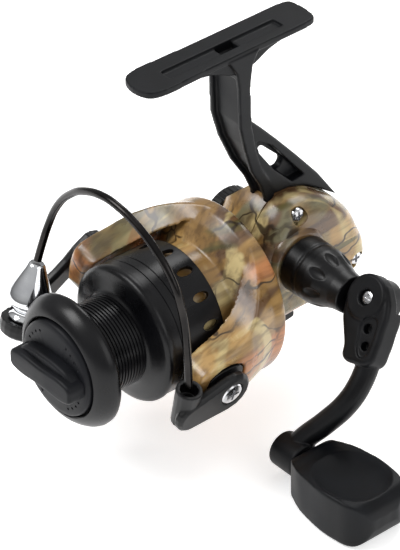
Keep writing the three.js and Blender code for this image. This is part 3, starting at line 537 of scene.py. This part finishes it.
for key, (y, z) in zip(("top", "rear", "front"), shell["screws"]):
    spot = footMiddle @ Matrix.Translation((shell["screwHeight"] * mm, y * mm, z * mm)) @ alongX
    handIn(screwPiece("screw", spot, screws["cover"]), f"coverScrew{key.title()}", "frame",
           "screwChrome", [f"cover_screw_{key}"])
for key, sign in (("near", 1), ("far", -1)):
    turnRound = Matrix.Rotation(0 if sign > 0 else pi, 4, "Y")
    spot = rotorPlace @ Matrix.Translation((0, screws["pivotAt"] * mm, 0)) @ turnRound @ alongX
    spot = spot @ Matrix.Translation((0, 0, screws["pivotHeight"] * mm))
    handIn(screwPiece("screw", spot, screws["pivot"]), f"pivotScrew{key.title()}", "rotor_body",
           "screwChrome", [f"pivot_screw_{key}"])
print("screws done")

# rotor
rotor = {
    "cup": [(4.3, -16), (17.5, -16), (17.5, -27), (19.5, -27), (19.5, -10.4), (21.5, -9), (25.4, -6.4),
            (28.8, -3), (29.7, -1), (29.8, 0), (29.7, 1.2), (29.2, 1.9), (28.4, 2), (27, 2), (26.6, -1.2),
            (22, -5.4), (18, -12.5), (4.3, -12.5), (4.3, -16)],
    "sleeve": [(24.4, -10), (24.4, -34.6), (26.4, -36.6), (31, -36.6), (32.6, -35.6), (33.3, -33),
               (33.3, -20), (33, -15), (31.8, -10), (30.6, -6), (29.8, -3), (29.8, 0), (27.2, 0),
               (27.2, -3), (24.4, -10)],
    "flare": [(-36.7, 0), (-35.6, 6.7), (-31, 9.6), (-22, 12), (-13, 16.5), (-5, 24), (4, 31), (8, 0),
              (4, -31), (-5, -24), (-13, -16.5), (-22, -12), (-31, -9.6), (-35.6, -6.7)],
    "pocketEnds": {"near": -18.3, "far": -12}, "pocketFront": -33.2, "pocketHalf": 7.2,
    "grain": 0.42, "passes": 6,
}
rotorPiece = turnedPiece("rotorCup", rotor["cup"], rotorPlace @ alongY, 128)
sleeve = turnedPiece("sleeve", rotor["sleeve"], rotorPlace @ alongY, 128)
flares = [slabPiece("flare", rotor["flare"], low, low + 30, rotorPlace @ sideways) for low in (10, -40)]
combine(sleeve, [gather("flares", flares)], "INTERSECT")
combine(rotorPiece, [sleeve], "UNION")
sinks = []
for side, low in (("near", 28.6), ("far", -40.6)):
    front, rear, half = rotor["pocketFront"], rotor["pocketEnds"][side], rotor["pocketHalf"]
    outline = [(front, 0), (front + 0.8, half - 2.2), (front + 4.7, half), (rear - 4, half),
               (rear - 0.6, half - 2.2), (rear, 0), (rear - 0.6, 2.2 - half), (rear - 4, -half),
               (front + 4.7, -half), (front + 0.8, 2.2 - half)]
    sinks.append(slabPiece("sink", outline, low, low + 12, rotorPlace @ sideways))
pivotPlace = rotorPlace @ Matrix.Translation((0, screws["pivotAt"] * mm, 0)) @ alongX
holes = [rodPiece("hole", 2.3, low, low + 20, pivotPlace) for low in (20, -40)]
combine(rotorPiece, [gather("sinks", sinks), gather("holes", holes)], "DIFFERENCE")
mould(rotorPiece, rotor["grain"], rotor["passes"])
handIn(rotorPiece, "rotorShell", "rotor_body", "camo", ["rotor"], 60)
print("rotor done")

# spool
spool = {
    "lip": [(2.8, -52), (12.8, -52), (12.8, -61.5), (16.9, -61.5), (16.9, -65.6), (17.3, -65.9),
            (18.2, -65.6), (19.6, -64.6), (20.9, -63.2), (21.9, -61.6), (22.3, -60.2), (22.2, -59.1),
            (21.6, -58.4), (20.4, -57.9), (17.8, -57.1), (16, -56.4), (15.3, -55.9)],
    "arbor": {"radius": 15, "depth": 0.42, "from": -55.7, "to": -42.7, "grooves": 11},
    "shoulder": [(15.3, -42.3), (16.4, -41.8), (19, -41.2), (21.4, -40.7), (22.6, -40.1), (23.05, -39.3),
                 (23.1, -38.4), (22.9, -37.6), (22.7, -36.6)],
    "lines": (-34.3, -31),
    "skirt": [(22.7, -17.8), (22.5, -17.3), (21.4, -17.3), (21.2, -17.6), (21.2, -36), (13.2, -38.2),
              (13.2, -49), (6, -49), (6, -31.5), (2.8, -31.5), (2.8, -52)],
    "ports": 15, "portSize": (1.55, 3.0, 3), "portAt": -22.2, "firstPort": 5.6,
}
profile = list(spool["lip"])
arbor = spool["arbor"]
pitch = (arbor["to"] - arbor["from"]) / arbor["grooves"]
for index in range(arbor["grooves"]):
    start = arbor["from"] + index * pitch
    for share, depth in ((0.1, 0), (0.4, 0), (0.55, 1), (0.85, 1), (1.0, 0)):
        profile.append((arbor["radius"] - depth * arbor["depth"], start + share * pitch))
profile += spool["shoulder"]
for at in spool["lines"]:
    profile += [(22.7, at - 0.22), (22.45, at - 0.1), (22.45, at + 0.1), (22.7, at + 0.22)]
profile += spool["skirt"]
spoolPiece = turnedPiece("spoolBody", profile, spoolPlace @ alongY, 144)
cutters = []
for index in range(spool["ports"]):
    turn = Matrix.Rotation(radians(360 / spool["ports"] * index + spool["firstPort"]), 4, "Y")
    shape = bmesh.new()
    bmesh.ops.create_cone(shape, cap_ends=True, segments=28, radius1=mm, radius2=mm, depth=2 * mm)
    bmesh.ops.scale(shape, vec=spool["portSize"], verts=shape.verts)
    place = spoolPlace @ turn @ Matrix.Translation((21.9 * mm, spool["portAt"] * mm, 0)) @ alongX
    cutters.append(toObject("port", shape, place))
combine(spoolPiece, [gather("ports", cutters)], "DIFFERENCE")
handIn(spoolPiece, "spoolBody", "spool_body", "spoolBlack", ["spool"], 38)
print("spool done")

# drag knob
drag = {
    "disc": [(0, -65.5), (9, -65.5), (9, -60.4), (11.2, -60.4), (11.2, -62.2), (15.6, -62.2), (16, -62.5),
             (16.2, -63), (16.2, -66.1), (16, -66.7), (15.4, -67.2), (14, -67.5), (0, -67.9)],
    "dots": (-62, -51, -40, -29, 29, 40, 51, 62), "dotCircle": 13.2, "dotAt": -67.6,
    "boss": [(-14, 0), (-11, -4.8), (-6, -6.3), (0, -6.6), (6, -6.3), (11, -4.8), (14, 0), (11, 4.8),
             (6, 6.3), (0, 6.6), (-6, 6.3), (-11, 4.8)],
    "bridge": [(-14.8, 0), (-14.4, -2.4), (-12.6, -3.5), (0, -3.6), (12.6, -3.5), (14.4, -2.4),
               (14.8, 0), (14.4, 2.4), (12.6, 3.5), (0, 3.6), (-12.6, 3.5), (-14.4, 2.4)],
}
dragPiece = turnedPiece("dragDisc", drag["disc"], spoolPlace @ alongY, 96)
dots = []
for angle in [a + half for half in (90, 270) for a in drag["dots"]]:
    turn = radians(angle)
    at = Matrix.Translation((drag["dotCircle"] * cos(turn) * mm, drag["dotAt"] * mm,
                             drag["dotCircle"] * sin(turn) * mm))
    dots.append(ballPiece("dot", (0.5, 0.5, 0.5), spoolPlace @ at))
combine(dragPiece, [gather("dots", dots)], "DIFFERENCE")
boss = slabPiece("boss", drag["boss"], -71.4, -66.5, spoolPlace @ frontways, 1.3)
bridge = slabPiece("bridge", drag["bridge"], -73.6, -66.5, spoolPlace @ frontways, 1.2)
dragPiece = gather("dragKnob", [dragPiece, boss, bridge])
handIn(dragPiece, "dragKnob", "drag_control", "dragGrey", ["drag_knob"])
print("drag knob done")

# bail
bail = {
    "wire": [(33.1, -41.1, -1.2), (33.6, -41.9, 11), (33.4, -43.8, 30), (29.6, -44.4, 39.9),
             (22.6, -44.7, 46.8), (13.3, -45.5, 52.8), (6.1, -46, 55), (-0.3, -46, 55),
             (-9.9, -45.5, 51.7), (-17.9, -44.6, 46.2), (-26.1, -43.8, 37.1), (-30.8, -44.2, 27.2),
             (-31.8, -46.4, 19.6), (-32.1, -47.9, 14.8)],
    "cone": [(0, 9.4), (1.8, 9.4), (1.8, 5.3), (5.6, 5.3), (6.3, 5.5), (6.9, 6), (7.25, 6.8), (7.3, 7.8),
             (7.1, 9), (6.6, 10.5), (5.8, 12.4), (4.9, 14.4), (4, 16.4), (3.3, 18), (2.9, 19), (2.6, 19.6),
             (2.2, 19.9), (0, 19.9)],
    "roller": [(2.7, 0.3), (4.9, 0.3), (5.2, 0.5), (5.2, 0.9), (4.6, 1.5), (4.2, 2.1), (4.1, 2.7),
               (4.2, 3.3), (4.6, 3.9), (5.2, 4.5), (5.2, 4.8), (4.9, 5), (2.7, 5), (2.7, 0.3)],
}
handIn(tubePiece("wire", bail["wire"], 1.3, spoolPlace), "bailWire", "bail", "bailWireSteel",
       ["bail_wire"])
handIn(turnedPiece("cone", bail["cone"], rollerPlace @ alongY), "bailCone", "bail", "rollerChrome",
       ["bail_cone"])
handIn(turnedPiece("roller", bail["roller"], rollerPlace @ alongY), "lineRoller", "roller",
       "rollerChrome", ["line_roller"])
for node, title in (("bail_arm", "bailLever"), ("roller_arm", "rollerLever")):
    handIn(mould(nodeCopy(title, node), 0.22, 6), title, "bail", "gloveBlack",
           [node], 60)
for key in ("near", "far"):
    handIn(mould(nodeCopy("lid", f"arm_cover_{key}"), 0.22, 3), f"armLid{key.title()}", "rotor_body",
           "gloveBlack", [f"arm_cover_{key}"], 60)
print("bail done")

# crank
crank = {
    "shank": [(0, 25.4), (2.2, 25.4), (2.2, 16.9), (9.2, 16.9), (9.6, 17.2), (9.7, 17.6), (9.7, 22.4),
              (9.4, 22.9), (9.3, 23.2), (9.45, 23.6), (9.6, 24.2), (9.6, 27), (8.9, 30.4), (7.6, 33.4),
              (6.8, 36), (6.4, 39), (6.25, 42), (6.2, 45), (5.6, 48), (0, 48)],
    "scoops": 8, "scoopSize": (3.4, 1.7, 0.8), "scoopAt": (30.6, 8.85),
    "cap": [(0, -19), (2.2, -19), (2.2, -15.3), (8.2, -15.3), (9, -15.7), (9.6, -16.4), (9.6, -20),
            (9, -20.5), (8.4, -21), (7.4, -21.4), (0, -21.8)],
    "eye": [(0, 0.15), (6.6, 0.15), (7, 0.5), (7, 5), (6.6, 5.5), (0, 5.55)],
    "grain": 0.24, "ridges": 28, "ridgeRadius": 0.5, "ridgeCircle": 9.75,
}
shankPiece = turnedPiece("shank", crank["shank"], crankPlace @ alongX, 96)
lap = boxPiece("lap", (-9.2, -20, -20), (20, 0.15, 20), armPlace)
combine(shankPiece, [lap], "DIFFERENCE")
eye = turnedPiece("eye", crank["eye"], hingePlace @ alongY)
combine(shankPiece, [eye], "UNION")
scoops = []
for index in range(crank["scoops"]):
    turn = Matrix.Rotation(2 * pi * index / crank["scoops"], 4, "X")
    tilt = Matrix.Rotation(radians(20), 4, "Y")
    along, out = crank["scoopAt"]
    place = crankPlace @ turn @ Matrix.Translation((along * mm, 0, out * mm)) @ tilt
    scoops.append(ballPiece("scoop", crank["scoopSize"], place))
scoops.append(rodPiece("pinHole", 1.8, -20, 20, hingePlace @ alongY))
combine(shankPiece, [gather("scoops", scoops)], "DIFFERENCE")
mould(shankPiece, crank["grain"], 4)
handIn(shankPiece, "crankShank", "crank", "gloveBlack", ["handle_shank"], 60)

capPiece = turnedPiece("cap", crank["cap"], crankPlace @ alongX, 96)
ridges = []
for index in range(crank["ridges"]):
    turn = Matrix.Rotation(2 * pi * index / crank["ridges"], 4, "X")
    place = crankPlace @ turn @ Matrix.Translation((0, 0, crank["ridgeCircle"] * mm)) @ alongX
    ridges.append(rodPiece("ridge", crank["ridgeRadius"], -22, -15.5, place, 10))
combine(capPiece, [gather("ridges", ridges)], "DIFFERENCE")
handIn(capPiece, "crankCap", "cap", "gloveBlack", ["handle_cap"])

arm = {
    "outline": [(-7, 1), (-6, -5), (-3.1, -9.4), (-0.4, -13), (1.7, -17), (7, -16.8), (12.3, -14.6),
                (12.6, -9), (11.6, -3.5), (10.6, 1.5), (7.8, 6.4), (2.4, 9.6)],
    "lower": [(8.2, 0, -12), (9.4, 0, -21), (8.4, 0, -29), (4.4, 0, -38), (-0.2, 0, -46),
              (-2.2, 0, -50.6)],
    "panel": [(2.8, -4.4), (4.4, -1.6), (7.6, -1.2), (9, -4), (10, -9), (9.8, -12.6), (8, -14),
              (5.8, -12.6), (4, -8.6)],
    "holes": ((5.4, -5.1, 1.6), (7.5, -10.2, 1.5)),
    "length": 52.6, "grain": 0.25,
    "lap": [(0, -5.4), (6.8, -5.4), (7.4, -5), (7.6, -4.4), (7.6, -0.3), (7.4, -0.15), (0, -0.15)],
    "end": [(0, -6.6), (5.4, -6.6), (5.9, -6.2), (6, -5.6), (6, 3.2), (5.8, 3.8), (5.2, 4), (0, 4)],
}
armPiece = slabPiece("arm", arm["outline"], -4.9, 3.6, armPlace @ frontways, 1.6)
lapDisc = turnedPiece("lapDisc", arm["lap"], hingePlace @ alongY)
lower = tubePiece("lower", arm["lower"], 3.8, armPlace)
endPlace = armPlace @ Matrix.Translation((0, 0, -arm["length"] * mm))
end = turnedPiece("end", arm["end"], endPlace @ alongX)
combine(armPiece, [lapDisc, lower, end], "UNION")
room = [boxPiece("room", (-30, -0.15, -9), (0, 20, 20), armPlace),
        rodPiece("hollow", 9.9, -0.15, 19.7, hingePlace @ alongY),
        slabPiece("panel", arm["panel"], -8, -4.2, armPlace @ frontways),
        rodPiece("pinHole", 1.8, -20, 20, hingePlace @ alongY),
        rodPiece("headHole", 2.6, -20, -3.4, hingePlace @ alongY),
        rodPiece("shaftHole", 2.3, -4, 8, endPlace @ alongX)]
for across, up, radius in arm["holes"]:
    spot = armPlace @ Matrix.Translation((across * mm, 0, up * mm)) @ alongY
    room.append(rodPiece("hole", radius, -7.6, -1.6, spot))
combine(armPiece, room, "DIFFERENCE")
mould(armPiece, arm["grain"], 5)
handIn(armPiece, "crankArm", "handle_arm_body", "handleBlack", ["handle_arm"], 60)
pinTurn = hingePlace @ Matrix.Rotation(pi, 4, "X") @ alongY @ Matrix.Translation((0, 0, 3.5 * mm))
pinHead = screwPiece("pinHead", pinTurn, screws["pin"])
pinRod = rodPiece("pinRod", 1.5, -3.6, 5.4, hingePlace @ alongY)
handIn(gather("foldPin", [pinHead, pinRod]), "foldPin", "handle_arm_body", "screwChrome",
       ["fold_pin"])
print("crank done")

# knob
knob = {
    "plan": [(53.7, 3), (54.6, 7), (58.6, 9.6), (67.6, 11.8), (79.6, 12.2), (86.6, 10.4), (90, 6.4),
             (90.4, 2)],
    "side": [(53.7, 2.4), (54.4, 5.6), (60.6, 7), (71.6, 7.8), (83.6, 8.1), (88.4, 6.6), (90.2, 3)],
    "round": 1.2, "grain": 0.3, "dish": (17.3, 11.9, 2.2), "dishAt": (73.2, 0, 8.7),
}
plan = knob["plan"] + [(x, -y) for x, y in reversed(knob["plan"])]
side = knob["side"] + [(x, -z) for x, z in reversed(knob["side"])]
knobPiece = slabPiece("knob", plan, -8.3, 8.3, knobPlace, knob["round"])
combine(knobPiece, [slabPiece("profile", side, -14, 14, knobPlace @ frontways)], "INTERSECT")
dishX, dishY, dishZ = (v * mm for v in knob["dishAt"])
dish = ballPiece("dish", knob["dish"], knobPlace @ Matrix.Translation((dishX, dishY, dishZ)))
under = ballPiece("dish", knob["dish"], knobPlace @ Matrix.Translation((dishX, dishY, -dishZ)))
bore = rodPiece("bore", 2.3, 40, 79, knobPlace @ alongX)
combine(knobPiece, [dish, under, bore], "DIFFERENCE")
mould(knobPiece, knob["grain"], 4)
handIn(knobPiece, "crankKnob", "knob", "gripBlack", ["knob_grip"], 60)
print("knob done")

leverPiece = mould(nodeCopy("lever", "anti_reverse_lever"), 0.2, 4)
handIn(leverPiece, "antiReverseLever", "anti_reverse", "gloveBlack",
       ["anti_reverse_lever"], 60)

# floor, light and camera
studio = {"floorSize": 4, "floorHeight": -0.1325, "floorTones": (0.93, 0.95), "floorGlow": 0.56,
          "walls": 0.14, "ceiling": 0.6}
floorShape = bmesh.new()
bmesh.ops.create_grid(floorShape, x_segments=1, y_segments=1, size=studio["floorSize"])
floor = toObject("floor", floorShape, Matrix.Translation((0, 0, studio["floorHeight"])))
floorPaint, floorTree, floorShader, floorWhere = newMaterial("floorPaint")
floorShader.inputs["Roughness"].default_value = 0.9
floorShader.inputs["Specular IOR Level"].default_value = 0.1
floorShader.inputs["Emission Color"].default_value = (1, 1, 1, 1)
floorShader.inputs["Emission Strength"].default_value = studio["floorGlow"]
lowTone, highTone = studio["floorTones"]
floorTone = useGroup(floorTree, surfaceGroup, floorWhere, {
    "Low Color": (lowTone, lowTone, lowTone, 1), "High Color": (highTone, highTone, highTone, 1),
    "Cloud Scale": 3})
floorTree.links.new(floorTone.outputs["Color"], floorShader.inputs["Base Color"])
floor.data.materials.append(floorPaint)

world = bpy.data.worlds.new("studio")
world.use_nodes = True
sky = world.node_tree
rise = sky.nodes.new("ShaderNodeSeparateXYZ")
sky.links.new(sky.nodes.new("ShaderNodeTexCoord").outputs["Generated"], rise.inputs[0])
glow = addRange(sky, rise.outputs["Z"], -0.15, 0.75, studio["walls"], studio["ceiling"])
sky.links.new(glow, sky.nodes["Background"].inputs["Strength"])
sky.nodes["Background"].inputs["Color"].default_value = (1, 1, 1, 1)
bpy.context.scene.world = world

lights = {
    "keyLight": {"at": (-0.35, -0.55, 0.75), "power": 6.0, "size": 0.5},
    "fillLight": {"at": (0.9, 0.1, 0.45), "power": 2.4, "size": 0.7},
    "backLight": {"at": (-0.3, 0.7, 0.7), "power": 3.4, "size": 0.5},
}
aim = Vector((0.005, 0.015, -0.08))
for name, setup in lights.items():
    data = bpy.data.lights.new(name, "AREA")
    data.energy = setup["power"]
    data.size = setup["size"]
    lamp = bpy.data.objects.new(name, data)
    lamp.location = setup["at"]
    lamp.rotation_euler = (aim - lamp.location).to_track_quat("-Z", "Y").to_euler()
    bpy.context.scene.collection.objects.link(lamp)

shot = {"at": (0.784918, -0.637713, 0.661684), "azimuth": 50.058, "elevation": 35.978, "roll": -0.647,
        "lens": 263.2}
azimuth, elevation, roll = (radians(shot[k]) for k in ("azimuth", "elevation", "roll"))
back = Vector((sin(azimuth) * cos(elevation), -cos(azimuth) * cos(elevation), sin(elevation)))
level = Vector((cos(azimuth), sin(azimuth), 0))
upright = back.cross(level)
right = level * cos(roll) + upright * sin(roll)
above = upright * cos(roll) - level * sin(roll)
cameraData = bpy.data.cameras.new("camera")
cameraData.lens = shot["lens"]
cameraData.sensor_width = 36
cameraData.clip_start = 0.05
cameraData.clip_end = 20
camera = bpy.data.objects.new("camera", cameraData)
camera.matrix_world = Matrix.Translation(shot["at"]) @ Matrix((right, above, back)).transposed().to_4x4()
bpy.context.scene.collection.objects.link(camera)
bpy.context.scene.camera = camera
bpy.context.scene.view_settings.view_transform = "Standard"
print("stage set")
